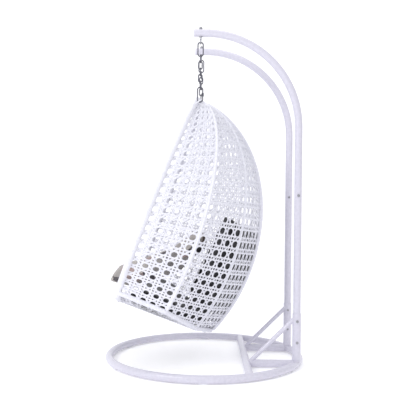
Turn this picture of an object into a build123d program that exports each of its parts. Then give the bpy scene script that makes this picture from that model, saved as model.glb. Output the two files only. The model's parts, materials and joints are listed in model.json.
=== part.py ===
"""Two-seat hanging egg chair: tubular stand with twin arches, chains and a woven basket.

Frame: origin on the floor at the centre of the base ring, +Z up, +X towards the posts,
so the seat faces -X, and +Y to the sitter's right-hand side. Millimetres throughout.
"""
import os
from math import asin, cos, degrees, hypot, radians, sin, sqrt

from build123d import *

os.makedirs("parts", exist_ok=True)

# ---------------------------------------------------------------- stand: driving sizes
tube_dia = 44            # ring, crossbar, rails, posts and arches
tube_wall = 2
pad_height = 3           # glide pads lift the ring off the floor
ring_radius = 580        # centreline
post_spacing = 422       # between the two post axes, also between the two chains
crossbar_x = 248
sleeve_wall = 2.5
sleeve_clearance = 0.5   # radial, post in sleeve
sleeve_top = 318
brace_dia = 25
brace_wall = 1.5
brace_foot_gap = 12      # brace foot ahead of the crossbar axis
brace_top_drop = 16      # brace head below the sleeve top
joint_height = 868       # lower post meets the arch tube
spigot_clearance = 0.5   # radial, post spigot in arch tube
spigot_length = 180
arch_height = 1957.5     # centreline of the level arch tips
arch_bend_radius = 550
arch_tip_x = -79
cap_thickness = 3
cap_plug_length = 18
cap_clearance = 0.3      # radial, cap plug in arch tube
pad_count = 6
pad_length = 46
pad_width = 26

# ---------------------------------------------------------------- fasteners
bolt_dia = 8
bolt_clearance = 0.2     # radial, bolt in its holes
bolt_head_dia = 16
bolt_head_height = 5
nut_dia = 14
nut_height = 6.5
sleeve_bolt_heights = (151.5, 274.6)
post_bolt_height = 1008
eye_bolt_dia = 10
eye_wire = 8
eye_radius = 12          # centreline of the eye
eye_drop = 29.5          # eye centre below the arch tube
washer_dia = 21
washer_thickness = 2
eye_nut_dia = 18.5
eye_nut_height = 8
eye_bolt_proud = 3       # thread above the nut

# ---------------------------------------------------------------- chains
hang_x = -41
link_wire = 7
body_gap = 0.3           # between wires that turn on each other
link_gap = 0.2           # between links that hang as one chain
top_link_height = 82     # wire centre to wire centre
top_link_half_width = 15.5
chain_link_height = 45
chain_link_half_width = 10.5
chain_link_count = 5     # odd, so that both ends turn the same way
quick_link_height = 87
quick_link_nut_dia = 13
quick_link_nut_length = 20
nut_bore_gap = 0.1

# ---------------------------------------------------------------- basket
basket_lean = 20.2       # rim plane leans back from upright, degrees
egg_half_width = 550
egg_half_height = 870
egg_centre = 330         # height of the widest section above the rim corners
front_rib = (305, 520)   # depth and half width of each rib at the widest section
rear_rib = (540, 280)
spine_depth = 668
floor_sag = 100
corner_radius = 60
rim_tube_dia = 32
rim_tube_wall = 1.2
wrap_thickness = 3.7     # wicker binding round the rim
wrap_gap = 0.3           # radial, binding on the rim tube and on the hanger loops
rib_dia = 12             # solid rod
spine_dia = 24
spine_wall = 2.5
floor_hoop_dia = 24
seat_bar_dia = 10
seat_bar_inner = 80      # distance of the seat bars from the middle
seat_bar_outer = 240
panel_thickness = 6
panel_gap = 2            # between a woven panel and the tube beside it
floor_edge_gap = 8       # between the woven floor and the floor hoop
crown_reach = 62         # ribs end this far from the axis through the crown
crown_plate_thickness = 5
crown_drop = 6           # plate below the top of the rim centreline
panel_top_scale = 0.25   # panels stop where the egg narrows to this share
panel_steps = 8
panel_lift = 8           # panels end this far above the floor hoop
floor_hoop_bend = 60
loop_wire = 8
loop_reach = 44.7        # loop wire centre above the rim centreline
loop_lean = 33           # direction of the loop from the rim's own plane, degrees
loop_half_width = 12

# ---------------------------------------------------------------- cushions
cushion_gap = 4          # between a cushion and what it rests on
seat_cushion_thickness = 92
seat_cushion_front = 50
seat_cushion_inset = 26
back_cushion_thickness = 112
back_cushion_top = 600
back_cushion_wing = 0.35 # share of each diagonal panel that the back cushion covers
back_cushion_setoff = 14 # from the middle of the woven wall
back_cushion_focus = 150 # depth of the point that the cushion curves round
back_cushion_steps = 5
seat_cushion_side = 55   # level of the seat's top edge at the sides
pillow_size = 370
pillow_thickness = 110
pillow_corner = 40
pillow_taper = 52
left_pillow_centre = (148, -252, 195)
left_pillow_turn = (0, 35, 45)
right_pillow_centre = (258, 182, 296)
right_pillow_turn = (0, -62, 0)

# ---------------------------------------------------------------- derived places
tube_radius = tube_dia / 2
tube_bore = tube_radius - tube_wall
wrap_dia = rim_tube_dia + 2 * (wrap_gap + wrap_thickness)
ring_z = pad_height + tube_radius
side_y = post_spacing / 2
post_x = sqrt(ring_radius**2 - side_y**2)
crossbar_half = sqrt(ring_radius**2 - crossbar_x**2)
sleeve_bore = tube_radius + sleeve_clearance
sleeve_dia = 2 * (sleeve_bore + sleeve_wall)
sleeve_bottom = ring_z + tube_radius / 2
post_bottom = ring_z + tube_radius + 4
spigot_radius = tube_bore - spigot_clearance
arch_bottom_z = arch_height - tube_radius
eye_z = arch_bottom_z - eye_drop
top_link_top = eye_z - eye_radius + (eye_wire + link_wire) / 2 + body_gap
chain_top = top_link_top - top_link_height + link_wire + body_gap
chain_step = chain_link_height - link_wire - link_gap
chain_bottom = chain_top - chain_link_height - (chain_link_count - 1) * chain_step
quick_link_top = chain_bottom + link_wire + body_gap
hang_z = quick_link_top - quick_link_height + (link_wire + loop_wire) / 2 + body_gap
sides = {"left": -1, "right": 1}


def egg_scale(height):
    """Share of the widest section that is left at a height along the rim."""
    return sqrt(1 - ((height - egg_centre) / egg_half_height) ** 2)


def egg_level(scale):
    """Height along the rim, above the widest section, where the egg has this scale."""
    return egg_centre + egg_half_height * sqrt(1 - scale**2)


corner_half = egg_half_width * egg_scale(0)
floor_radius = (corner_half**2 + floor_sag**2) / (2 * floor_sag)
loop_level = egg_level(side_y / egg_half_width)
lean = radians(basket_lean)
back_dir = Vector(cos(lean), 0, -sin(lean))
up_dir = Vector(sin(lean), 0, cos(lean))
loop_local = Vector(
    loop_reach * sin(radians(loop_lean)), 0, loop_level + loop_reach * cos(radians(loop_lean))
)
hang_point = Vector(hang_x, 0, hang_z)
basket_origin = hang_point - back_dir * loop_local.X - up_dir * loop_local.Z
basket = Plane(origin=basket_origin, x_dir=back_dir, z_dir=up_dir)


def floor_level(half_width):
    """Height of the sagging floor at a distance from the middle."""
    return floor_radius - floor_sag - sqrt(floor_radius**2 - half_width**2)


def spot(depth, across, height):
    """A point of the basket's own frame in the object's frame."""
    return basket.from_local_coords(Vector(depth, across, height))


def finish(builder, label):
    builder.part.label = label
    export_step(builder.part, f"parts/{label}.step")


def upright_plane(y):
    """Vertical plane at y, drawn in X and Z."""
    return Plane(origin=(0, y, 0), x_dir=(1, 0, 0), z_dir=(0, -1, 0))


# ================================================================ stand
with BuildPart() as base_ring:
    with BuildSketch(Plane.XZ) as ring_section:
        with Locations((ring_radius, ring_z)):
            Circle(tube_radius)
            Circle(tube_bore, mode=Mode.SUBTRACT)
    revolve(axis=Axis.Z)
finish(base_ring, "base_ring")

with BuildPart() as base_crossbar:
    with BuildSketch(Plane(origin=(crossbar_x, 0, ring_z), z_dir=(0, 1, 0))):
        Circle(tube_radius)
    extrude(amount=crossbar_half, both=True)
    with Locations((0, 0, ring_z)):
        Torus(ring_radius, tube_radius, mode=Mode.SUBTRACT)
    with BuildSketch(Plane(origin=(crossbar_x, 0, ring_z), z_dir=(0, 1, 0))):
        Circle(tube_bore)
    extrude(amount=crossbar_half, both=True, mode=Mode.SUBTRACT)
finish(base_crossbar, "base_crossbar")

with BuildPart() as glide_pads:
    with PolarLocations(ring_radius, pad_count, start_angle=180 / pad_count):
        Box(pad_width, pad_length, ring_z / 2, align=(Align.CENTER, Align.CENTER, Align.MIN))
    with Locations((0, 0, ring_z)):
        Torus(ring_radius, tube_radius, mode=Mode.SUBTRACT)
finish(glide_pads, "glide_pads")

for side, sign in sides.items():
    y = sign * side_y

    with BuildPart() as rail:
        with BuildSketch(Plane(origin=(crossbar_x, y, ring_z), x_dir=(0, sign, 0), z_dir=(1, 0, 0))):
            Circle(tube_radius)
        extrude(amount=post_x - crossbar_x)
        with Locations((0, 0, ring_z)):
            Torus(ring_radius, tube_radius, mode=Mode.SUBTRACT)
        with BuildSketch(Plane(origin=(crossbar_x, y, ring_z), x_dir=(0, 0, 1), z_dir=(0, 1, 0))):
            Circle(tube_radius)
        extrude(amount=tube_dia, both=True, mode=Mode.SUBTRACT)
        with BuildSketch(Plane(origin=(crossbar_x, y, ring_z), x_dir=(0, sign, 0), z_dir=(1, 0, 0))):
            Circle(tube_bore)
        extrude(amount=post_x - crossbar_x, mode=Mode.SUBTRACT)
    finish(rail, f"{side}_rail")

    with BuildPart() as sleeve:
        with BuildSketch(Plane.XY.offset(sleeve_bottom)):
            with Locations((post_x, y)):
                Circle(sleeve_dia / 2)
                Circle(sleeve_bore, mode=Mode.SUBTRACT)
        extrude(amount=sleeve_top - sleeve_bottom)
        with Locations((0, 0, ring_z)):
            Torus(ring_radius, tube_radius, mode=Mode.SUBTRACT)
        with Locations(Location((crossbar_x, y, ring_z), (0, 90, 0))):
            Cylinder(tube_radius, 2 * (post_x - crossbar_x), mode=Mode.SUBTRACT)
        for height in sleeve_bolt_heights:
            with Locations(Location((post_x, y, height), (90, 0, 0))):
                Cylinder(bolt_dia / 2 + bolt_clearance, 2 * sleeve_dia, mode=Mode.SUBTRACT)
    finish(sleeve, f"{side}_sleeve")

    brace_foot = Vector(crossbar_x + brace_foot_gap, y, ring_z)
    brace_head = Vector(post_x, y, sleeve_top - brace_top_drop)
    with BuildPart() as brace:
        with BuildSketch(Plane(origin=brace_foot, z_dir=brace_head - brace_foot)):
            Circle(brace_dia / 2)
            Circle(brace_dia / 2 - brace_wall, mode=Mode.SUBTRACT)
        extrude(amount=(brace_head - brace_foot).length)
        with Locations(Location((crossbar_x, 0, ring_z), (90, 0, 0))):
            Cylinder(tube_radius, 2 * crossbar_half, mode=Mode.SUBTRACT)
        with Locations(Location((crossbar_x, y, ring_z), (0, 90, 0))):
            Cylinder(tube_radius, 2 * (post_x - crossbar_x), mode=Mode.SUBTRACT)
        with Locations((post_x, y, sleeve_top)):
            Cylinder(sleeve_dia / 2, 2 * sleeve_top, mode=Mode.SUBTRACT)
    finish(brace, f"{side}_brace")

    with BuildPart() as post:
        with BuildSketch(Plane.XY.offset(post_bottom)):
            with Locations((post_x, y)):
                Circle(tube_radius)
        extrude(amount=joint_height - post_bottom)
        with BuildSketch(Plane.XY.offset(joint_height)):
            with Locations((post_x, y)):
                Circle(spigot_radius)
        extrude(amount=spigot_length)
        with BuildSketch(Plane.XY.offset(post_bottom)):
            with Locations((post_x, y)):
                Circle(spigot_radius - tube_wall)
        extrude(amount=joint_height + spigot_length - post_bottom, mode=Mode.SUBTRACT)
        for height in (*sleeve_bolt_heights, post_bolt_height):
            with Locations(Location((post_x, y, height), (90, 0, 0))):
                Cylinder(bolt_dia / 2 + bolt_clearance, 2 * tube_dia, mode=Mode.SUBTRACT)
    finish(post, f"{side}_post")

    with BuildPart() as arch:
        with BuildLine(upright_plane(y)) as arch_route:
            riser = Line((post_x, joint_height), (post_x, arch_height - arch_bend_radius))
            bend = JernArc(riser @ 1, (0, 1), arch_bend_radius, 90)
            Line(bend @ 1, (arch_tip_x, arch_height))
        with BuildSketch(Plane.XY.offset(joint_height)):
            with Locations((post_x, y)):
                Circle(tube_radius)
                Circle(tube_bore, mode=Mode.SUBTRACT)
        sweep(path=arch_route.wire())
        with Locations(Location((post_x, y, post_bolt_height), (90, 0, 0))):
            Cylinder(bolt_dia / 2 + bolt_clearance, 2 * tube_dia, mode=Mode.SUBTRACT)
        with Locations((hang_x, y, arch_height)):
            Cylinder(eye_bolt_dia / 2 + bolt_clearance, 2 * tube_dia, mode=Mode.SUBTRACT)
    finish(arch, f"{side}_arch")

    with BuildPart() as arch_cap:
        with BuildSketch(Plane(origin=(arch_tip_x, y, arch_height), z_dir=(-1, 0, 0))):
            Circle(tube_radius)
        extrude(amount=cap_thickness)
        fillet(arch_cap.edges().sort_by(Axis.X)[0], cap_thickness * 0.8)
        with BuildSketch(Plane(origin=(arch_tip_x, y, arch_height), z_dir=(1, 0, 0))):
            Circle(tube_bore - cap_clearance)
        extrude(amount=cap_plug_length)
    finish(arch_cap, f"{side}_arch_cap")

    with BuildPart() as eye_bolt:
        shank_top = arch_height + tube_radius + washer_thickness + eye_nut_height + eye_bolt_proud
        with BuildSketch(Plane.XY.offset(eye_z + eye_radius)):
            with Locations((hang_x, y)):
                Circle(eye_bolt_dia / 2)
        extrude(amount=shank_top - eye_z - eye_radius)
        with Locations(Location((hang_x, y, eye_z), (0, 90, 0))):
            Torus(eye_radius, eye_wire / 2)
    finish(eye_bolt, f"{side}_eye_bolt")


def cross_bolts(seats):
    """Button-head bolts along Y with the head outwards: (x, y, height, tube radius) each."""
    with BuildPart() as bolts:
        for x, y, height, grip in seats:
            out = 1 if y > 0 else -1
            with Locations(Location((x, y, height), (-90 * out, 0, 0))):
                Cylinder(bolt_dia / 2, 2 * grip + nut_height + 2)
            with Locations(Location((x, y + out * grip, height), (-90 * out, 0, 0))):
                Cylinder(bolt_head_dia / 2, bolt_head_height, align=(Align.CENTER, Align.CENTER, Align.MIN))
    return bolts


def cross_nuts(seats):
    """Nuts on the inner ends of the cross bolts."""
    with BuildPart() as nuts:
        for x, y, height, grip in seats:
            out = 1 if y > 0 else -1
            with BuildSketch(Plane(origin=(x, y - out * grip, height), z_dir=(0, -out, 0))):
                RegularPolygon(nut_dia / 2, 6)
                Circle(bolt_dia / 2 + nut_bore_gap, mode=Mode.SUBTRACT)
            extrude(amount=nut_height)
    return nuts


sleeve_seats = [
    (post_x, sign * side_y, height, sleeve_dia / 2)
    for sign in sides.values()
    for height in sleeve_bolt_heights
]
post_seats = [(post_x, sign * side_y, post_bolt_height, tube_radius) for sign in sides.values()]
finish(cross_bolts(sleeve_seats), "sleeve_bolts")
finish(cross_nuts(sleeve_seats), "sleeve_nuts")
finish(cross_bolts(post_seats), "post_bolts")
finish(cross_nuts(post_seats), "post_nuts")

with BuildPart() as eye_washers:
    for sign in sides.values():
        for level in (arch_height + tube_radius, arch_bottom_z - washer_thickness):
            with BuildSketch(Plane.XY.offset(level)):
                with Locations((hang_x, sign * side_y)):
                    Circle(washer_dia / 2)
                    Circle(eye_bolt_dia / 2 + bolt_clearance, mode=Mode.SUBTRACT)
            extrude(amount=washer_thickness)
finish(eye_washers, "eye_washers")

with BuildPart() as eye_nuts:
    for sign in sides.values():
        with BuildSketch(Plane.XY.offset(arch_height + tube_radius + washer_thickness)):
            with Locations((hang_x, sign * side_y)):
                RegularPolygon(eye_nut_dia / 2, 6)
                Circle(eye_bolt_dia / 2 + nut_bore_gap, mode=Mode.SUBTRACT)
        extrude(amount=eye_nut_height)
finish(eye_nuts, "eye_nuts")


# ================================================================ chains
def add_link(y, top, height, half_width, across):
    """An oblong wire link hanging from its top wire centre, drawn across Y or along X."""
    if across:
        face = Plane(origin=(hang_x, y, 0), x_dir=(0, 1, 0), z_dir=(1, 0, 0))
    else:
        face = Plane(origin=(hang_x, y, 0), x_dir=(1, 0, 0), z_dir=(0, -1, 0))
    high = top - half_width
    low = top - height + half_width
    with BuildLine(face) as route:
        Line((-half_width, low), (-half_width, high))
        ThreePointArc((-half_width, high), (0, top), (half_width, high))
        Line((half_width, high), (half_width, low))
        ThreePointArc((half_width, low), (0, top - height), (-half_width, low))
    start = face.from_local_coords(Vector(-half_width, low, 0))
    with BuildSketch(Plane(origin=start, z_dir=(0, 0, 1))) as section:
        Circle(link_wire / 2)
    sweep(section.sketch, path=route.wire())


quick_nut_z = quick_link_top - quick_link_height / 2
for side, sign in sides.items():
    y = sign * side_y

    with BuildPart() as top_link:
        add_link(y, top_link_top, top_link_height, top_link_half_width, across=False)
    finish(top_link, f"{side}_top_link")

    with BuildPart() as chain:
        for index in range(chain_link_count):
            link_top = chain_top - index * chain_step
            add_link(y, link_top, chain_link_height, chain_link_half_width, across=index % 2 == 0)
    finish(chain, f"{side}_chain")

    with BuildPart() as quick_link:
        add_link(y, quick_link_top, quick_link_height, top_link_half_width, across=False)
    finish(quick_link, f"{side}_quick_link")

    with BuildPart() as quick_nut:
        with BuildSketch(Plane.XY.offset(quick_nut_z - quick_link_nut_length / 2)):
            with Locations((hang_x + top_link_half_width, y)):
                RegularPolygon(quick_link_nut_dia / 2, 6)
                Circle(link_wire / 2 + nut_bore_gap, mode=Mode.SUBTRACT)
        extrude(amount=quick_link_nut_length)
    finish(quick_nut, f"{side}_quick_link_nut")


# ================================================================ basket frame
def egg_arc(depth, half_width, start, end):
    """Rib arc from one height to another, in the upright plane through the basket's axis."""
    reach = hypot(depth, half_width)
    outward = (back_dir * depth + Vector(0, half_width, 0)) / reach
    face = Plane(origin=spot(0, 0, egg_centre), x_dir=outward, z_dir=outward.cross(up_dir))
    low, high = [degrees(asin((level - egg_centre) / egg_half_height)) for level in (start, end)]
    with BuildLine(face) as route:
        EllipticalCenterArc((0, 0), reach, egg_half_height, low, arc_size=high - low)
    return route


def sweep_tube(route, dia, wall=0, mode=Mode.ADD, seam=None):
    """A round tube, or a rod where no wall is given, along a route, with its seam on one side."""
    start = Plane(origin=route.wire() @ 0, x_dir=seam, z_dir=route.wire() % 0)
    with BuildSketch(start) as section:
        Circle(dia / 2)
        if wall:
            Circle(dia / 2 - wall, mode=Mode.SUBTRACT)
    sweep(section.sketch, path=route.wire(), mode=mode)


rim_plane = Plane(origin=basket_origin, x_dir=(0, 1, 0), z_dir=back_dir)
corner_angle = degrees(asin(-egg_centre / egg_half_height))


def rim_route():
    """The egg outline, open at the bottom middle so that a section has a clean start."""
    with BuildLine(rim_plane) as route:
        EllipticalCenterArc(
            (0, egg_centre), egg_half_width, egg_half_height, corner_angle, arc_size=180 - 2 * corner_angle
        )
        ThreePointArc((-corner_half, 0), (0, -floor_sag), (corner_half, 0))
        fillet(route.vertices().group_by(Axis.Z)[0], corner_radius)
    return route


with BuildPart() as basket_rim:
    sweep_tube(rim_route(), rim_tube_dia, rim_tube_wall)
finish(basket_rim, "basket_rim")


def floor_corner(depth, half_width):
    """Depth, half width and level at which a rib reaches the sagging floor."""
    level = 0
    for _ in range(12):
        level = floor_level(half_width * egg_scale(level))
    scale = egg_scale(level)
    return depth * scale, half_width * scale, level


floor_front = floor_corner(*front_rib)
floor_rear = floor_corner(*rear_rib)
floor_spine = floor_corner(spine_depth, 0)
half_outline = [(0, corner_half, 0), floor_front, floor_rear]
floor_outline = (
    [(depth, -across, level) for depth, across, level in half_outline]
    + [floor_spine]
    + half_outline[::-1]
)


def floor_route():
    with BuildLine() as route:
        FilletPolyline(*[spot(*corner) for corner in floor_outline], radius=floor_hoop_bend)
    return route


with BuildPart() as floor_hoop:
    sweep_tube(floor_route(), floor_hoop_dia, rim_tube_wall)
    sweep_tube(rim_route(), rim_tube_dia, mode=Mode.SUBTRACT)
finish(floor_hoop, "floor_hoop")

ribs = {
    "left_front_rib": (front_rib[0], -front_rib[1], rib_dia, 0),
    "right_front_rib": (*front_rib, rib_dia, 0),
    "left_rear_rib": (rear_rib[0], -rear_rib[1], rib_dia, 0),
    "right_rear_rib": (*rear_rib, rib_dia, 0),
    "spine_rib": (spine_depth, 0, spine_dia, spine_wall),
}
for label, (depth, across, dia, wall) in ribs.items():
    foot = floor_corner(depth, across)[2] + (floor_hoop_dia + dia) / 2
    head = egg_level(crown_reach / hypot(depth, across))
    rib_route = egg_arc(depth, across, foot, head)
    with BuildPart() as rib:
        sweep_tube(rib_route, dia, wall, seam=(rib_route.wire() % 0).cross(Vector(0, 1, 0)))
    finish(rib, label)

crown_level = egg_centre + egg_half_height - crown_drop
with BuildPart() as crown_plate:
    with BuildSketch(basket.offset(crown_level - crown_plate_thickness / 2)):
        Circle(crown_reach - panel_gap)
        with Locations((-crown_reach, 0)):
            Rectangle(2 * crown_reach, 2 * crown_reach, mode=Mode.SUBTRACT)
    extrude(amount=crown_plate_thickness)
    sweep_tube(rim_route(), rim_tube_dia, mode=Mode.SUBTRACT)
finish(crown_plate, "crown_plate")

seat_bars = {
    f"{side}_{place}_seat_bar": sign * across
    for side, sign in sides.items()
    for place, across in (("inner", seat_bar_inner), ("outer", seat_bar_outer))
}
rear_run = (floor_spine[0] - floor_rear[0]) / floor_rear[1]


def seat_bar_start(across):
    """Plane at the rim where a seat bar starts, under the woven floor."""
    drop = panel_thickness / 2 + panel_gap + seat_bar_dia / 2
    return Plane(origin=spot(0, across, floor_level(across) - drop), z_dir=back_dir)


for label, across in seat_bars.items():
    with BuildPart() as seat_bar:
        with BuildSketch(seat_bar_start(across)):
            Circle(seat_bar_dia / 2)
        extrude(amount=floor_spine[0] - rear_run * abs(across))
        sweep_tube(floor_route(), floor_hoop_dia, mode=Mode.SUBTRACT)
        sweep_tube(rim_route(), rim_tube_dia, mode=Mode.SUBTRACT)
    finish(seat_bar, label)

loop_up = back_dir * sin(radians(loop_lean)) + up_dir * cos(radians(loop_lean))


def loop_route(y):
    """An upside-down U of wire standing on the rim, with its top along Y."""
    face = Plane(origin=spot(0, y, loop_level), x_dir=(0, 1, 0), z_dir=Vector(0, 1, 0).cross(loop_up))
    with BuildLine(face) as route:
        FilletPolyline(
            (-loop_half_width, 0),
            (-loop_half_width, loop_reach),
            (loop_half_width, loop_reach),
            (loop_half_width, 0),
            radius=loop_half_width * 0.6,
        )
    return route


for side, sign in sides.items():
    with BuildPart() as hanger_loop:
        sweep_tube(loop_route(sign * side_y), loop_wire)
        sweep_tube(rim_route(), rim_tube_dia, mode=Mode.SUBTRACT)
    finish(hanger_loop, f"{side}_hanger_loop")

with BuildPart() as rim_binding:
    sweep_tube(rim_route(), wrap_dia, (wrap_dia - rim_tube_dia) / 2 - wrap_gap)
    sweep_tube(floor_route(), floor_hoop_dia + 2 * wrap_gap, mode=Mode.SUBTRACT)
    for sign in sides.values():
        sweep_tube(loop_route(sign * side_y), loop_wire + 2 * wrap_gap, mode=Mode.SUBTRACT)
    for across in seat_bars.values():
        with BuildSketch(seat_bar_start(across)) as bar_hole:
            Circle(seat_bar_dia / 2 + wrap_gap)
        extrude(amount=wrap_dia, mode=Mode.SUBTRACT)
    with BuildSketch(basket.offset(crown_level - crown_plate_thickness / 2 - wrap_gap)):
        Circle(crown_reach)
        with Locations((-crown_reach, 0)):
            Rectangle(2 * crown_reach, 2 * crown_reach, mode=Mode.SUBTRACT)
    extrude(amount=crown_plate_thickness + 2 * wrap_gap, mode=Mode.SUBTRACT)
finish(rim_binding, "rim_binding")


# ================================================================ woven panels
panel_angles = [
    asin((-floor_sag - egg_centre) / egg_half_height),
    asin((egg_level(panel_top_scale) - egg_centre) / egg_half_height),
]


def floor_arc(clearance, half_span):
    """Points of an arc at a constant clearance above the floor, for ThreePointArc."""
    radius = floor_radius - clearance
    end = floor_radius - floor_sag - sqrt(radius**2 - half_span**2)
    return (-half_span, end), (0, clearance - floor_sag), (half_span, end)


def panel_section(start, end, start_inset, end_inset, level):
    """Plan outline of a panel at one level: a thin strip between two ribs."""
    scale = egg_scale(level)
    first = Vector(start[0], start[1]) * scale
    last = Vector(end[0], end[1]) * scale
    along = (last - first).normalized()
    middle = (first + along * start_inset + last - along * end_inset) / 2
    length = (last - first).length - start_inset - end_inset
    across_dir = back_dir * along.X + Vector(0, along.Y, 0)
    face = Plane(origin=spot(middle.X, middle.Y, level), x_dir=across_dir, z_dir=up_dir)
    with BuildSketch(face) as section:
        Rectangle(length, panel_thickness)
    return section.sketch


rim_corner = (0, egg_half_width)
rib_inset = rib_dia / 2 + panel_gap
panel_runs = {
    "side_panel": (rim_corner, front_rib, wrap_dia / 2 + panel_gap, rib_inset),
    "diagonal_panel": (front_rib, rear_rib, rib_inset, rib_inset),
    "rear_panel": (rear_rib, (spine_depth, 0), rib_inset, spine_dia / 2 + panel_gap),
}
for side, sign in sides.items():
    for name, (start, end, start_inset, end_inset) in panel_runs.items():
        first_angle, last_angle = panel_angles
        turns = [step / panel_steps for step in range(panel_steps + 1)]
        levels = [
            egg_centre + egg_half_height * sin(first_angle + (last_angle - first_angle) * turn)
            for turn in turns
        ]
        with BuildPart() as panel:
            loft(
                [
                    panel_section(
                        (start[0], sign * start[1]), (end[0], sign * end[1]), start_inset, end_inset, level
                    )
                    for level in levels
                ],
                ruled=True,
            )
            with BuildSketch(rim_plane):
                with BuildLine():
                    arc = ThreePointArc(*floor_arc(floor_hoop_dia / 2 + panel_lift, egg_half_width))
                    Polyline(
                        arc @ 1,
                        (egg_half_width, -2 * floor_sag),
                        (-egg_half_width, -2 * floor_sag),
                        arc @ 0,
                    )
                make_face()
            extrude(amount=spine_depth + wrap_dia, mode=Mode.SUBTRACT)
        finish(panel, f"{side}_{name}")


def floor_slab(bottom, top, inset, front):
    """A slab that follows the floor between two clearances, inside the floor hoop."""
    with BuildSketch(basket.offset(-2 * floor_sag)) as plan:
        with BuildLine():
            Polyline(*[(depth, across) for depth, across, _ in floor_outline], close=True)
        make_face()
        offset(amount=-inset, kind=Kind.INTERSECTION)
        with Locations((front / 2, 0)):
            Rectangle(front, 3 * corner_half, mode=Mode.SUBTRACT)
    extrude(plan.sketch, amount=4 * floor_sag)
    with BuildSketch(rim_plane) as strip:
        with BuildLine():
            low = ThreePointArc(*floor_arc(bottom, corner_half))
            high = ThreePointArc(*top)
            Line(low @ 0, high @ 0)
            Line(low @ 1, high @ 1)
        make_face()
    extrude(strip.sketch, amount=spine_depth, mode=Mode.INTERSECT)


with BuildPart() as floor_panel:
    floor_slab(
        -panel_thickness / 2,
        floor_arc(panel_thickness / 2, corner_half),
        floor_hoop_dia / 2 + floor_edge_gap,
        wrap_dia / 2 + panel_gap,
    )
finish(floor_panel, "floor_panel")

# ================================================================ cushions
cushion_top = (
    (-corner_half, seat_cushion_side),
    (0, -floor_sag + seat_cushion_thickness),
    (corner_half, seat_cushion_side),
)
with BuildPart() as seat_cushion:
    floor_slab(panel_thickness / 2 + cushion_gap, cushion_top, seat_cushion_inset, seat_cushion_front)
finish(seat_cushion, "seat_cushion")


def back_section(level, thickness):
    """Plan outline of the back cushion at one level: a band bent round the back of the egg."""
    scale = egg_scale(level)
    wing = Vector(*rear_rib) + (Vector(*front_rib) - Vector(*rear_rib)) * back_cushion_wing
    half = [(wing.X, wing.Y), rear_rib]
    wall = [(x * scale, -y * scale) for x, y in half] + [(spine_depth * scale, 0)]
    wall += [(x * scale, y * scale) for x, y in half[::-1]]
    focus = Vector(back_cushion_focus, 0)
    inward = [(focus - Vector(*point)).normalized() for point in wall]
    rear = [Vector(*p) + d * back_cushion_setoff for p, d in zip(wall, inward)]
    front = [p + d * thickness for p, d in zip(rear, inward)]
    with BuildSketch(basket.offset(level)) as section:
        with BuildLine():
            Polyline(*rear, *front[::-1], close=True)
        make_face()
    return section.sketch


with BuildPart() as back_cushion:
    bands = []
    for step in range(back_cushion_steps + 1):
        rise = step / back_cushion_steps
        band_thickness = back_cushion_thickness * (1 - 0.45 * rise**3)
        bands.append(back_section(back_cushion_top * rise, band_thickness))
    loft(bands, ruled=True)
    with BuildSketch(rim_plane):
        with BuildLine():
            seat_line = ThreePointArc(*[(y, level + cushion_gap) for y, level in cushion_top])
            Polyline(
                seat_line @ 1, (corner_half, -2 * floor_sag), (-corner_half, -2 * floor_sag), seat_line @ 0
            )
        make_face()
    extrude(amount=spine_depth + wrap_dia, mode=Mode.SUBTRACT)
finish(back_cushion, "back_cushion")

pillows = {
    "left_pillow": (left_pillow_centre, left_pillow_turn),
    "right_pillow": (right_pillow_centre, right_pillow_turn),
}
for label, (centre, turn) in pillows.items():
    with BuildPart() as pillow:
        with BuildSketch(basket * Location(centre, turn)):
            RectangleRounded(pillow_size, pillow_size, pillow_corner)
        extrude(amount=pillow_thickness / 2, taper=pillow_taper, both=True)
    finish(pillow, label)
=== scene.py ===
"""Hanging egg chair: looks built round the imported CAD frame. Metres, +Z up, seat faces -X."""

import json
import math

import bpy
import numpy as np
from mathutils import Matrix, Vector


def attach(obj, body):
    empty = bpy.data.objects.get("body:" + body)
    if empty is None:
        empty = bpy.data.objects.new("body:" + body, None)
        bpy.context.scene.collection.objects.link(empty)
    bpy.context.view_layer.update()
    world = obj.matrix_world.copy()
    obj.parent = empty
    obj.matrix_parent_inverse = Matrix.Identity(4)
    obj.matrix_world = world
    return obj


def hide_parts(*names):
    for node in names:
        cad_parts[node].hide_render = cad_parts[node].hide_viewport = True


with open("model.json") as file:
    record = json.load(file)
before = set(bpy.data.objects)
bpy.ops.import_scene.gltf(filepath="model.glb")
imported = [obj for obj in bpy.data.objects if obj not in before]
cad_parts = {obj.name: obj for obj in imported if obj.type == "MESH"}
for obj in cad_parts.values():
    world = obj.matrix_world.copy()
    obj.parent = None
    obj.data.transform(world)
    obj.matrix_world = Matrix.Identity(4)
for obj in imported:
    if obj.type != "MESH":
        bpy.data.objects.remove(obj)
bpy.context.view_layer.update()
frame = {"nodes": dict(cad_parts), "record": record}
nodes = frame["nodes"]
joints = {joint["name"]: joint for joint in frame["record"]["behaviour"]["joints"]}

# ---------------------------------------------------------------- basket frame, as in the CAD
LEAN = math.radians(20.2)
HALF_WIDTH, HALF_HEIGHT, CENTRE = 0.550, 0.870, 0.330
FRONT_RIB, REAR_RIB, SPINE = (0.305, 0.520), (0.540, 0.280), (0.668, 0.0)
FLOOR_SAG = 0.100
POST_SPACING = 0.422
LOOP_REACH, LOOP_LEAN = 0.0447, math.radians(33)
BACK = np.array([math.cos(LEAN), 0, -math.sin(LEAN)])
UP = np.array([math.sin(LEAN), 0, math.cos(LEAN)])
SIDE = np.array([0.0, 1.0, 0.0])
hang = np.array(joints["basket_tilt"]["pos_m"])
loop_level = CENTRE + HALF_HEIGHT * math.sqrt(1 - (POST_SPACING / 2 / HALF_WIDTH) ** 2)
ORIGIN = (
    hang
    - BACK * LOOP_REACH * math.sin(LOOP_LEAN)
    - UP * (loop_level + LOOP_REACH * math.cos(LOOP_LEAN))
)
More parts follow.
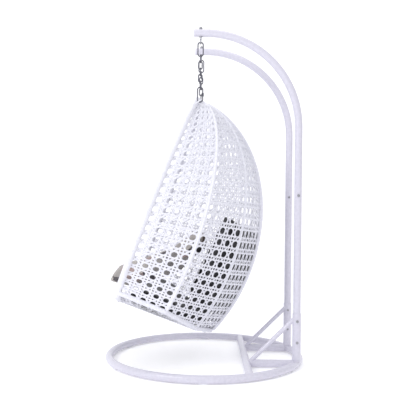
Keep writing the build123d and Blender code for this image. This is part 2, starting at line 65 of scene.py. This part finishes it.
CORNER_HALF = HALF_WIDTH * math.sqrt(1 - (CENTRE / HALF_HEIGHT) ** 2)
FLOOR_RADIUS = (CORNER_HALF**2 + FLOOR_SAG**2) / (2 * FLOOR_SAG)


def scale_at(level):
    return np.sqrt(np.maximum(1 - ((level - CENTRE) / HALF_HEIGHT) ** 2, 0))


def floor_at(across):
    return FLOOR_RADIUS - FLOOR_SAG - np.sqrt(FLOOR_RADIUS**2 - np.asarray(across) ** 2)


def place(depth, across, level):
    """Points of the basket's own frame in the object's frame."""
    depth, across, level = np.broadcast_arrays(depth, across, level)
    return ORIGIN + depth[..., None] * BACK + across[..., None] * SIDE + level[..., None] * UP


# ---------------------------------------------------------------- materials
def new_material(name):
    material = bpy.data.materials.new(name)
    material.use_nodes = True
    tree = material.node_tree
    tree.nodes.clear()
    out = tree.nodes.new("ShaderNodeOutputMaterial")
    shader = tree.nodes.new("ShaderNodeBsdfPrincipled")
    tree.links.new(shader.outputs[0], out.inputs[0])
    return material, tree, shader


def add(tree, kind, values=None, **settings):
    node = tree.nodes.new(kind)
    for key, value in settings.items():
        setattr(node, key, value)
    for key, value in (values or {}).items():
        node.inputs[key].default_value = value
    return node


def ramp(tree, factor, stops, interpolation="LINEAR"):
    node = tree.nodes.new("ShaderNodeValToRGB")
    node.color_ramp.interpolation = interpolation
    elements = node.color_ramp.elements
    while len(elements) < len(stops):
        elements.new(0.5)
    for element, (position, colour) in zip(elements, stops):
        element.position = position
        element.color = (*colour, 1)
    tree.links.new(factor, node.inputs["Fac"])
    return node.outputs["Color"]


def noise_of(tree, coordinates, scale, detail=4, roughness=0.55):
    node = add(tree, "ShaderNodeTexNoise", {"Scale": scale, "Detail": detail, "Roughness": roughness})
    tree.links.new(coordinates, node.inputs["Vector"])
    return node.outputs["Fac"]


def bump_to(tree, shader, height, strength, distance):
    node = add(tree, "ShaderNodeBump", {"Strength": strength, "Distance": distance})
    tree.links.new(height, node.inputs["Height"])
    tree.links.new(node.outputs["Normal"], shader.inputs["Normal"])


def object_coordinates(tree):
    return tree.nodes.new("ShaderNodeTexCoord").outputs["Object"]


def coated(name, low, high, roughness, metallic=0.0, coat=0.0, grain=900, bump=0.08, speckle=60):
    """A painted, moulded or plated surface with slight mottling and fine grain."""
    material, tree, shader = new_material(name)
    where = object_coordinates(tree)
    tree.links.new(
        ramp(tree, noise_of(tree, where, speckle), [(0.3, low), (0.7, high)]), shader.inputs["Base Color"]
    )
    rough = ramp(
        tree,
        noise_of(tree, where, 25, 3),
        [(0.3, (roughness * 0.85,) * 3), (0.75, (min(roughness * 1.2, 1),) * 3)],
    )
    tree.links.new(rough, shader.inputs["Roughness"])
    shader.inputs["Metallic"].default_value = metallic
    shader.inputs["Coat Weight"].default_value = coat
    bump_to(tree, shader, noise_of(tree, where, grain, 2), bump, 0.0006)
    return material


def woven_cloth(name, colour_of, thread=0.0024, roughness=0.9, sheen=0.3, bump=0.5):
    """Plain-weave cloth: threads both ways in object space, over a colour given by colour_of."""
    material, tree, shader = new_material(name)
    where = object_coordinates(tree)
    heights = []
    for axis in ("X", "Y", "Z"):
        wave = add(
            tree,
            "ShaderNodeTexWave",
            {"Scale": 0.5 / thread / 5, "Distortion": 0.6, "Detail": 1.0, "Detail Scale": 2.0},
            bands_direction=axis,
        )
        tree.links.new(where, wave.inputs["Vector"])
        heights.append(wave.outputs["Fac"])
    first = add(tree, "ShaderNodeMath", operation="ADD")
    tree.links.new(heights[0], first.inputs[0])
    tree.links.new(heights[1], first.inputs[1])
    total = add(tree, "ShaderNodeMath", operation="ADD")
    tree.links.new(first.outputs[0], total.inputs[0])
    tree.links.new(heights[2], total.inputs[1])
    colour = colour_of(tree, where)
    shade = ramp(tree, noise_of(tree, where, 420, 2), [(0.25, (0.72, 0.72, 0.72)), (0.75, (1, 1, 1))])
    mix = add(tree, "ShaderNodeMix", data_type="RGBA", blend_type="MULTIPLY")
    mix.inputs["Factor"].default_value = 1.0
    tree.links.new(colour, mix.inputs[6])
    tree.links.new(shade, mix.inputs[7])
    tree.links.new(mix.outputs[2], shader.inputs["Base Color"])
    shader.inputs["Roughness"].default_value = roughness
    shader.inputs["Sheen Weight"].default_value = sheen
    bump_to(tree, shader, total.outputs[0], bump, 0.0008)
    return material


def charcoal(tree, where):
    return ramp(
        tree, noise_of(tree, where, 14, 5), [(0.3, (0.018, 0.018, 0.021)), (0.7, (0.034, 0.033, 0.038))]
    )


def patchwork(tree, where):
    """Rows of soft-edged blocks in greys, brown and dusty pink."""
    cells = add(tree, "ShaderNodeTexVoronoi", {"Scale": 15.0, "Randomness": 0.55}, distance="CHEBYCHEV")
    tree.links.new(where, cells.inputs["Vector"])
    split = tree.nodes.new("ShaderNodeSeparateColor")
    tree.links.new(cells.outputs["Color"], split.inputs[0])
    stops = [
        (0.0, (0.36, 0.34, 0.33)),
        (0.28, (0.20, 0.15, 0.13)),
        (0.36, (0.47, 0.44, 0.42)),
        (0.66, (0.38, 0.29, 0.28)),
        (0.74, (0.09, 0.08, 0.09)),
        (0.82, (0.42, 0.39, 0.38)),
    ]
    return ramp(tree, split.outputs[0], stops, "CONSTANT")


MATERIALS = {
    "stand_coat": coated("stand_coat", (0.60, 0.585, 0.675), (0.66, 0.645, 0.735), 0.34, coat=0.15),
    "plastic_cap": coated("plastic_cap", (0.74, 0.74, 0.79), (0.80, 0.80, 0.84), 0.5, bump=0.15),
    "zinc_bolt": coated("zinc_bolt", (0.30, 0.30, 0.33), (0.44, 0.44, 0.47), 0.36, metallic=1.0),
    "dark_chain": coated("dark_chain", (0.09, 0.09, 0.11), (0.17, 0.17, 0.20), 0.38, metallic=0.9),
    "basket_frame": coated("basket_frame", (0.78, 0.78, 0.84), (0.85, 0.85, 0.90), 0.4),
    "wicker": coated(
        "wicker", (0.72, 0.72, 0.80), (0.84, 0.84, 0.90), 0.48, grain=1500, bump=0.2, speckle=90
    ),
    "cushion_cloth": woven_cloth("cushion_cloth", charcoal),
    "pillow_cloth": woven_cloth("pillow_cloth", patchwork, thread=0.0018, sheen=0.15),
}
for entry in frame["record"]["subparts"]:
    mesh = nodes[entry["node"]].data
    mesh.materials.clear()
    mesh.materials.append(MATERIALS[entry["material_slot"]])


# ---------------------------------------------------------------- mesh helpers
def make_piece(name, verts, faces, slot, body):
    mesh = bpy.data.meshes.new(name)
    mesh.from_pydata([tuple(v) for v in verts], [], [tuple(f) for f in faces])
    mesh.validate()
    for polygon in mesh.polygons:
        polygon.use_smooth = True
    piece = bpy.data.objects.new(name, mesh)
    bpy.context.scene.collection.objects.link(piece)
    mesh.materials.append(MATERIALS[slot])
    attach(piece, body)
    return piece


class Bundle:
    """Collects many swept strips into one mesh."""

    def __init__(self):
        self.verts, self.faces, self.count = [], [], 0

    def sweep(self, rings, closed=False):
        """rings: (n, m, 3) cross-sections, capped at the ends unless closed."""
        n, m, _ = rings.shape
        self.verts.append(rings.reshape(-1, 3))
        i, j = np.meshgrid(np.arange(n if closed else n - 1), np.arange(m), indexing="ij")
        a = i * m + j
        b = i * m + (j + 1) % m
        c = (i + 1) % n * m + (j + 1) % m
        d = (i + 1) % n * m + j
        self.faces += (np.stack([a, b, c, d], -1).reshape(-1, 4) + self.count).tolist()
        if not closed:
            self.faces.append(list(range(self.count + m - 1, self.count - 1, -1)))
            last = self.count + (n - 1) * m
            self.faces.append(list(range(last, last + m)))
        self.count += n * m

    def piece(self, name, slot, body):
        return make_piece(name, np.concatenate(self.verts), self.faces, slot, body)


STRIP = np.array([(-0.5, 0.0), (-0.32, 0.5), (0.32, 0.5), (0.5, 0.0), (0.32, -0.5), (-0.32, -0.5)])


def strip_rings(points, normals, width, thickness):
    """Flat strand along points, lying across the normals."""
    tangents = np.gradient(points, axis=0)
    tangents /= np.linalg.norm(tangents, axis=1, keepdims=True) + 1e-12
    across = np.cross(tangents, normals)
    across /= np.linalg.norm(across, axis=1, keepdims=True) + 1e-12
    return (
        points[:, None]
        + across[:, None] * (STRIP[:, 0] * width)[None, :, None]
        + normals[:, None] * (STRIP[:, 1] * thickness)[None, :, None]
    )


def resample(points, step):
    """Points at an even spacing along a polyline."""
    gaps = np.linalg.norm(np.diff(points, axis=0), axis=1)
    along = np.concatenate([[0], np.cumsum(gaps)])
    count = max(int(along[-1] / step), 4)
    stations = np.linspace(0, along[-1], count + 1)
    return np.stack([np.interp(stations, along, points[:, k]) for k in range(3)], -1), stations


def round_corners(corners, radius, steps=7):
    """Polyline with each inner corner turned into an arc."""
    corners = [np.asarray(c, float) for c in corners]
    out = [corners[0]]
    for before, corner, after in zip(corners, corners[1:], corners[2:]):
        a = (before - corner) / np.linalg.norm(before - corner)
        b = (after - corner) / np.linalg.norm(after - corner)
        half = math.acos(max(-1, min(1, float(a @ b)))) / 2
        reach = radius / math.tan(half)
        for k in range(steps + 1):
            f = k / steps
            p, q = corner + a * reach, corner + b * reach
            out.append((1 - f) ** 2 * p + 2 * f * (1 - f) * corner + f**2 * q)
    out.append(corners[-1])
    return np.array(out)


def wound(bundle, path, radius, pitch=0.0072, ridge=0.0011, sides=14, closed=False, per_turn=4):
    """Strand wound tightly round a rod along path, as a ridged tube."""
    points, along = resample(path, pitch / per_turn)
    if closed:
        points, along = points[:-1], along[:-1]
        tangents = np.roll(points, -1, 0) - np.roll(points, 1, 0)
    else:
        tangents = np.gradient(points, axis=0)
    tangents /= np.linalg.norm(tangents, axis=1, keepdims=True)
    normal = np.cross(tangents[0], [0.3, 0.5, 0.81])
    frames = []
    for tangent in tangents:
        normal = normal - tangent * (normal @ tangent)
        normal /= np.linalg.norm(normal)
        frames.append((normal, np.cross(tangent, normal)))
    normals = np.array([f[0] for f in frames])
    sideways = np.array([f[1] for f in frames])
    angles = np.arange(sides) / sides * 2 * math.pi
    phase = along[:, None] / pitch + angles[None] / (2 * math.pi)
    radii = radius - ridge + ridge * np.abs(np.sin(math.pi * phase))
    rings = (
        points[:, None]
        + normals[:, None] * (np.cos(angles) * radii)[..., None]
        + sideways[:, None] * (np.sin(angles) * radii)[..., None]
    )
    bundle.sweep(rings, closed)


# ---------------------------------------------------------------- open cane weave of the walls
COLUMNS, ROWS = 5, 24
ROW_TOP, ROW_SPREAD = 1.13, 0.15
ROW_TILT, ROW_FAN = -0.08, 0.62  # how rows slope towards the back, at the bottom and per metre up
STRAND_WIDTH, STRAND_THICKNESS = 0.0094, 0.0022
PAIR = 0.16  # each strand of a pair lies this share of a cell from the cell's edge


def row_level(row):
    x = np.asarray(row) / ROWS
    return ROW_TOP * (x - ROW_SPREAD * np.sin(2 * math.pi * x) / (2 * math.pi))


def wall(start, end, column, row, side):
    """Point of a faceted wall at lattice coordinates, and its level."""
    share = np.asarray(column) / COLUMNS
    depth_1 = start[0] + (end[0] - start[0]) * share
    across_1 = start[1] + (end[1] - start[1]) * share
    base = row_level(row)
    tilt = ROW_TILT + ROW_FAN * base
    low = base - 0.12
    high = np.full_like(base, CENTRE + HALF_HEIGHT)
    for _ in range(34):
        middle = (low + high) / 2
        over = middle - base - depth_1 * scale_at(middle) * tilt > 0
        high = np.where(over, middle, high)
        low = np.where(over, low, middle)
    level = (low + high) / 2
    scale = scale_at(level)
    return place(depth_1 * scale, side * across_1 * scale, level), level, across_1 * scale


INSIDE = place(0.2, 0.0, 0.4)


def wall_with_normals(start, end, column, row, side):
    points, level, across = wall(start, end, column, row, side)
    step = 0.02
    along, _, _ = wall(start, end, column + step, row, side)
    upward, _, _ = wall(start, end, column, row + step, side)
    normals = np.cross(along - points, upward - points)
    normals /= np.linalg.norm(normals, axis=1, keepdims=True) + 1e-12
    flip = np.sign(np.einsum("ij,ij->i", normals, points - INSIDE))
    return points, normals * flip[:, None], level, across


def weave_panel(name, start, end, side):
    bundle = Bundle()
    lift, diagonal_lift = 0.0011, 0.0024

    def strand(column, row, height):
        points, normals, level, across = wall_with_normals(start, end, column, row, side)
        keep = level > floor_at(across) + 0.004
        points = points + normals * height[:, None]
        rings = strip_rings(points, normals, STRAND_WIDTH, STRAND_THICKNESS)
        edges = np.flatnonzero(np.diff(np.concatenate([[0], keep.astype(int), [0]])))
        for first, last in zip(edges[::2], edges[1::2]):
            if last - first > 2:
                bundle.sweep(rings[first:last])

    for k in range(COLUMNS + 1):
        for shift in (-PAIR, PAIR):
            if 0 < k + shift < COLUMNS:
                row = np.linspace(-0.6, ROWS + 0.4, 6 * ROWS)
                height = lift * np.cos(math.pi * row * 2) * (1 if (k % 2 == 0) == (shift > 0) else -1)
                strand(np.full_like(row, k + shift), row, height)
    for k in range(ROWS + 1):
        for shift in (-PAIR, PAIR):
            column = np.linspace(0, COLUMNS, 6 * COLUMNS + 1)
            height = -lift * np.cos(math.pi * column * 2) * (1 if (k % 2 == 0) == (shift > 0) else -1)
            strand(column, np.full_like(column, k + shift), height)
    for slope in (1, -1):
        for k in range(-COLUMNS - 1, ROWS + COLUMNS + 1):
            column = np.linspace(0, COLUMNS, 8 * COLUMNS + 1)
            row = k + 0.5 + slope * column
            inside = (row > -0.6) & (row < ROWS + 0.4)
            if inside.sum() > 2:
                column, row = column[inside], row[inside]
                strand(column, row, -slope * diagonal_lift * np.cos(2 * math.pi * column))
    return bundle.piece(name, "wicker", "basket")


RUNS = {
    "side_panel": ((0.0, HALF_WIDTH), FRONT_RIB),
    "diagonal_panel": (FRONT_RIB, REAR_RIB),
    "rear_panel": (REAR_RIB, SPINE),
}
for side_name, side in (("left", -1), ("right", 1)):
    for run_name, (start, end) in RUNS.items():
        weave = weave_panel(f"{side_name}_{run_name}_weave", start, end, side)
        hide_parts(f"{side_name}_{run_name}")

# ---------------------------------------------------------------- wound rods
WRAP_RADIUS, RIB_WRAP_RADIUS, SPINE_WRAP_RADIUS, HOOP_WRAP_RADIUS = 0.0190, 0.0073, 0.0140, 0.0138
CORNER_RADIUS, HOOP_BEND, CROWN_REACH = 0.060, 0.060, 0.062


def local(points):
    points = np.asarray(points, float)
    return place(points[:, 0], points[:, 1], points[:, 2])


egg_turn = np.linspace(math.asin(-CENTRE / HALF_HEIGHT), math.pi - math.asin(-CENTRE / HALF_HEIGHT), 120)
egg_edge = np.stack(
    [np.zeros(120), HALF_WIDTH * np.cos(egg_turn), CENTRE + HALF_HEIGHT * np.sin(egg_turn)], -1
)
floor_across = np.linspace(-CORNER_HALF, CORNER_HALF, 41)
floor_edge = np.stack([np.zeros(41), floor_across, floor_at(floor_across)], -1)


def blend_corner(before, corner, after, reach):
    """Drops points nearer than reach to a corner and bridges the gap with an arc."""
    before = before[np.linalg.norm(before - corner, axis=1) > reach]
    after = after[np.linalg.norm(after - corner, axis=1) > reach]
    share = np.linspace(0, 1, 10)[1:-1, None]
    bridge = (1 - share) ** 2 * before[-1] + 2 * share * (1 - share) * corner + share**2 * after[0]
    return before, bridge, after


left_corner, right_corner = floor_edge[0], floor_edge[-1]
egg_a, bridge_a, floor_a = blend_corner(egg_edge, left_corner, floor_edge, CORNER_RADIUS)
floor_b, bridge_b, egg_b = blend_corner(floor_a, right_corner, egg_a, CORNER_RADIUS)
rim_loop = np.concatenate([egg_b, bridge_a, floor_b, bridge_b, egg_b[:1]])
rim = Bundle()
wound(rim, local(rim_loop), WRAP_RADIUS, closed=True, sides=16)
rim_piece = rim.piece("rim_winding", "wicker", "basket")
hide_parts("rim_binding")


def floor_corner(depth, across):
    level = 0.0
    for _ in range(12):
        level = float(floor_at(across * float(scale_at(level))))
    scale = float(scale_at(level))
    return depth * scale, across * scale, level


front_foot, rear_foot, spine_foot = floor_corner(*FRONT_RIB), floor_corner(*REAR_RIB), floor_corner(*SPINE)
hoop_half = [(0.012, CORNER_HALF, 0.0), front_foot, rear_foot]
hoop_corners = (
    [(depth, -across, level) for depth, across, level in hoop_half] + [spine_foot] + hoop_half[::-1]
)
hoop = Bundle()
wound(hoop, local(round_corners(hoop_corners, HOOP_BEND)), HOOP_WRAP_RADIUS)
hoop.piece("floor_hoop_winding", "wicker", "basket")


def rib_path(depth, across, foot, head):
    turn = np.linspace(
        math.asin((foot - CENTRE) / HALF_HEIGHT), math.asin((head - CENTRE) / HALF_HEIGHT), 90
    )
    level = CENTRE + HALF_HEIGHT * np.sin(turn)
    return place(depth * np.cos(turn), across * np.cos(turn), level)


ribs = Bundle()
for depth, across, radius in (
    (FRONT_RIB[0], -FRONT_RIB[1], RIB_WRAP_RADIUS),
    (*FRONT_RIB, RIB_WRAP_RADIUS),
    (REAR_RIB[0], -REAR_RIB[1], RIB_WRAP_RADIUS),
    (*REAR_RIB, RIB_WRAP_RADIUS),
    (*SPINE, SPINE_WRAP_RADIUS),
):
    head = CENTRE + HALF_HEIGHT * math.sqrt(1 - (CROWN_REACH / math.hypot(depth, across)) ** 2)
    foot = floor_corner(depth, across)[2]
    wound(ribs, rib_path(depth, across, foot + 0.010, head), radius, sides=10)
ribs.piece("rib_winding", "wicker", "basket")

# solid winding over the crown, above the last row of holes
crown = Bundle()
crown_turn = np.linspace(-math.pi / 2, math.pi / 2, 61)
outline = []
for angle in crown_turn:
    direction = np.array([math.cos(angle), math.sin(angle)])
    corners = [(0.0, -HALF_WIDTH), (FRONT_RIB[0], -FRONT_RIB[1]), (REAR_RIB[0], -REAR_RIB[1]), SPINE]
    corners += [(x, -y) for x, y in corners[2::-1]]
    best = 0.0
    for (x0, y0), (x1, y1) in zip(corners, corners[1:]):
        matrix = np.array([[direction[0], x0 - x1], [direction[1], y0 - y1]])
        if abs(np.linalg.det(matrix)) > 1e-9:
            reach, share = np.linalg.solve(matrix, [x0, y0])
            if -1e-6 <= share <= 1 + 1e-6 and reach > 0:
                best = max(best, reach)
    outline.append(direction * best)
outline = np.array(outline)
CROWN_FROM, CROWN_TURNS = 1.135, 15
for turn_index in range(CROWN_TURNS):
    share = turn_index / (CROWN_TURNS - 1)
    scale = float(scale_at(CROWN_FROM)) * (1 - share) + 0.03 * share
    level = CENTRE + HALF_HEIGHT * math.sqrt(1 - scale**2)
    points = place(outline[:, 0] * scale, outline[:, 1] * scale, np.full(61, level))
    outward = points - INSIDE
    outward /= np.linalg.norm(outward, axis=1, keepdims=True)
    crown.sweep(strip_rings(points, outward, 0.0085, 0.0035))
crown.piece("crown_winding", "wicker", "basket")

# open weave of the floor
floor_weave = Bundle()
FLOOR_PITCH = 0.063
floor_ring = np.array([(c[0], c[1]) for c in hoop_corners])


def inside_floor(depth, across):
    """Share of points within the floor hoop."""
    result = np.ones(depth.shape, bool)
    for (x0, y0), (x1, y1) in zip(floor_ring, np.roll(floor_ring, -1, 0)):
        result &= (x1 - x0) * (across - y0) - (y1 - y0) * (depth - x0) >= -1e-9
    return result


def floor_strand(depth, across, height):
    keep = inside_floor(depth, across)
    if keep.sum() < 3:
        return
    depth, across, height = depth[keep], across[keep], height[keep]
    points = place(depth, across, floor_at(across) + height)
    floor_weave.sweep(strip_rings(points, np.tile(UP, (len(points), 1)), STRAND_WIDTH, STRAND_THICKNESS))


run = np.linspace(-0.62, 0.72, 340)
for k in range(-10, 12):
    for shift in (-PAIR, PAIR):
        fixed = np.full_like(run, (k + shift) * FLOOR_PITCH)
        floor_strand(fixed, run, 0.0011 * np.cos(2 * math.pi * run / FLOOR_PITCH))
        floor_strand(run, fixed, -0.0011 * np.cos(2 * math.pi * run / FLOOR_PITCH))
for slope in (1, -1):
    for k in range(-22, 24):
        across = (k + 0.5) * FLOOR_PITCH + slope * run
        floor_strand(run, across, slope * 0.0024 * np.cos(2 * math.pi * run / FLOOR_PITCH))
floor_piece = floor_weave.piece("floor_weave", "wicker", "basket")
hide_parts("floor_panel")


# ---------------------------------------------------------------- cushions
def closed_copy(node, name, voxel):
    source = nodes[node]
    mesh = source.data.copy()
    piece = bpy.data.objects.new(name, mesh)
    bpy.context.scene.collection.objects.link(piece)
    piece.matrix_world = source.matrix_world.copy()
    remesh = piece.modifiers.new("remesh", "REMESH")
    remesh.mode = "VOXEL"
    remesh.voxel_size = voxel
    return bake(piece)


def bake(piece):
    """Applies the piece's modifiers."""
    graph = bpy.context.evaluated_depsgraph_get()
    mesh = bpy.data.meshes.new_from_object(piece.evaluated_get(graph))
    piece.modifiers.clear()
    piece.data = mesh
    return piece


def coordinates(mesh):
    flat = np.empty(len(mesh.vertices) * 3, np.float32)
    mesh.vertices.foreach_get("co", flat)
    return flat.reshape(-1, 3).astype(float)


def vertex_normals(mesh):
    flat = np.empty(len(mesh.vertices) * 3, np.float32)
    mesh.vertices.foreach_get("normal", flat)
    return flat.reshape(-1, 3).astype(float)


def stuffed(node, name, slot, voxel, pressure, cap, shrink):
    """Cushion swollen by cloth simulation from a slightly smaller copy of its solid."""
    piece = closed_copy(node, name, voxel)
    start = coordinates(piece.data) - vertex_normals(piece.data) * shrink
    piece.data.vertices.foreach_set("co", start.astype(np.float32).ravel())
    piece.data.update()
    cloth = piece.modifiers.new("cloth", "CLOTH")
    cloth.settings.quality = 5
    cloth.settings.mass = 0.25
    cloth.settings.use_pressure = True
    cloth.settings.uniform_pressure_force = pressure
    cloth.settings.effector_weights.gravity = 0
    cloth.settings.tension_stiffness = 18
    cloth.settings.compression_stiffness = 12
    cloth.settings.bending_stiffness = 0.6
    cloth.collision_settings.use_collision = False
    for number in range(1, 21):
        scene.frame_set(number)
    bake(piece)
    scene.frame_set(1)
    moved = coordinates(piece.data) - start
    length = np.linalg.norm(moved, axis=1, keepdims=True)
    end = start + moved * np.minimum(1, cap / np.maximum(length, 1e-9))
    piece.data.vertices.foreach_set("co", end.astype(np.float32).ravel())
    piece.data.update()
    smooth = piece.modifiers.new("smooth", "SUBSURF")
    smooth.levels = smooth.render_levels = 1
    bake(piece)
    for polygon in piece.data.polygons:
        polygon.use_smooth = True
    piece.data.materials.clear()
    piece.data.materials.append(MATERIALS[slot])
    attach(piece, "basket")
    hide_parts(node)
    return piece


PILLOW_SWING = 74  # degrees that the left pillow turns back from its solid, about Y
PILLOW_SHIFT = (-0.030, -0.030)  # along depth and level
scene = bpy.context.scene
stuffed("seat_cushion", "seat_pad", "cushion_cloth", 0.011, 3.5, 0.018, 0.008)
stuffed("back_cushion", "back_pad", "cushion_cloth", 0.011, 3.5, 0.020, 0.008)
for side_name in ("left", "right"):
    pillow = stuffed(
        f"{side_name}_pillow", f"{side_name}_pillow_pad", "pillow_cloth", 0.007, 4.0, 0.016, 0.004
    )
    if side_name == "left":
        # it leans back on the cushion behind it, and its front corner is pulled out past the rim
        points = coordinates(pillow.data) - ORIGIN
        middle = points.mean(0)
        depth, level = (points - middle) @ BACK, (points - middle) @ UP
        swing = math.radians(PILLOW_SWING)
        turned_depth = depth * math.cos(swing) - level * math.sin(swing) + middle @ BACK + PILLOW_SHIFT[0]
        turned_level = depth * math.sin(swing) + level * math.cos(swing) + middle @ UP + PILLOW_SHIFT[1]
        reach = np.clip((0.06 - turned_depth) / 0.14, 0, 1) ** 1.5
        points = place(turned_depth - 0.034 * reach, points @ SIDE, turned_level - 0.022 * reach)
        pillow.data.vertices.foreach_set("co", points.astype(np.float32).ravel())
        pillow.data.update()

# ---------------------------------------------------------------- camera, floor and light
camera_data = bpy.data.cameras.new("camera")
camera_data.sensor_width = 36
camera_data.lens = 53.35
camera_data.clip_end = 60
camera = bpy.data.objects.new("camera", camera_data)
scene.collection.objects.link(camera)
yaw, pitch, roll = 0.0004, -0.0075, 0.0115
forward = Vector((math.sin(yaw) * math.cos(pitch), math.cos(yaw) * math.cos(pitch), -math.sin(pitch)))
right = Vector((math.cos(yaw), -math.sin(yaw), 0))
upward = right.cross(forward)
right, upward = (
    right * math.cos(roll) + upward * math.sin(roll),
    -right * math.sin(roll) + upward * math.cos(roll),
)
turn = Matrix((right, upward, -forward)).transposed()
camera.matrix_world = Matrix.Translation((0.0118, -3.8256, 0.9028)) @ turn.to_4x4()
scene.camera = camera
scene.view_settings.view_transform = "Standard"

sweep_profile = [(-9.0, 0.0), (3.0, 0.0)] + [
    (3.0 + 2.5 * math.sin(a), 2.5 - 2.5 * math.cos(a)) for a in np.linspace(0.1, math.pi / 2, 14)
] + [(5.5, 9.0)]
floor_verts = [(x, y, z - 0.0008) for y, z in sweep_profile for x in (-12.0, 12.0)]
floor_faces = [(2 * i, 2 * i + 1, 2 * i + 3, 2 * i + 2) for i in range(len(sweep_profile) - 1)]
floor_mesh = bpy.data.meshes.new("floor")
floor_mesh.from_pydata(floor_verts, [], floor_faces)
for polygon in floor_mesh.polygons:
    polygon.use_smooth = True
floor = bpy.data.objects.new("floor", floor_mesh)
scene.collection.objects.link(floor)
floor_material, tree, shader = new_material("floor_paper")
where = object_coordinates(tree)
tree.links.new(
    ramp(tree, noise_of(tree, where, 1.5, 2), [(0.3, (0.93, 0.93, 0.94)), (0.7, (0.95, 0.95, 0.96))]),
    shader.inputs["Base Color"],
)
shader.inputs["Roughness"].default_value = 0.9
shader.inputs["Emission Color"].default_value = (1, 1, 1, 1)
shader.inputs["Emission Strength"].default_value = 0.2
floor_mesh.materials.append(floor_material)

world = bpy.data.worlds.new("studio")
world.use_nodes = True
world.node_tree.nodes["Background"].inputs["Color"].default_value = (0.97, 0.975, 1.0, 1)
world.node_tree.nodes["Background"].inputs["Strength"].default_value = 0.82
scene.world = world


def area_light(name, place_at, target, size, power, colour=(1, 1, 1)):
    data = bpy.data.lights.new(name, "AREA")
    data.shape = "DISK"
    data.size = size
    data.energy = power
    data.color = colour
    light = bpy.data.objects.new(name, data)
    light.location = place_at
    light.rotation_euler = (Vector(target) - Vector(place_at)).to_track_quat("-Z", "Y").to_euler()
    scene.collection.objects.link(light)


area_light("key", (-3.0, -3.4, 3.2), (0, 0, 0.9), 1.8, 90)
area_light("fill", (3.2, -3.0, 2.0), (0, 0, 0.9), 2.5, 9)
area_light("top", (0, 0.4, 4.2), (0, 0, 0.6), 3.0, 26)
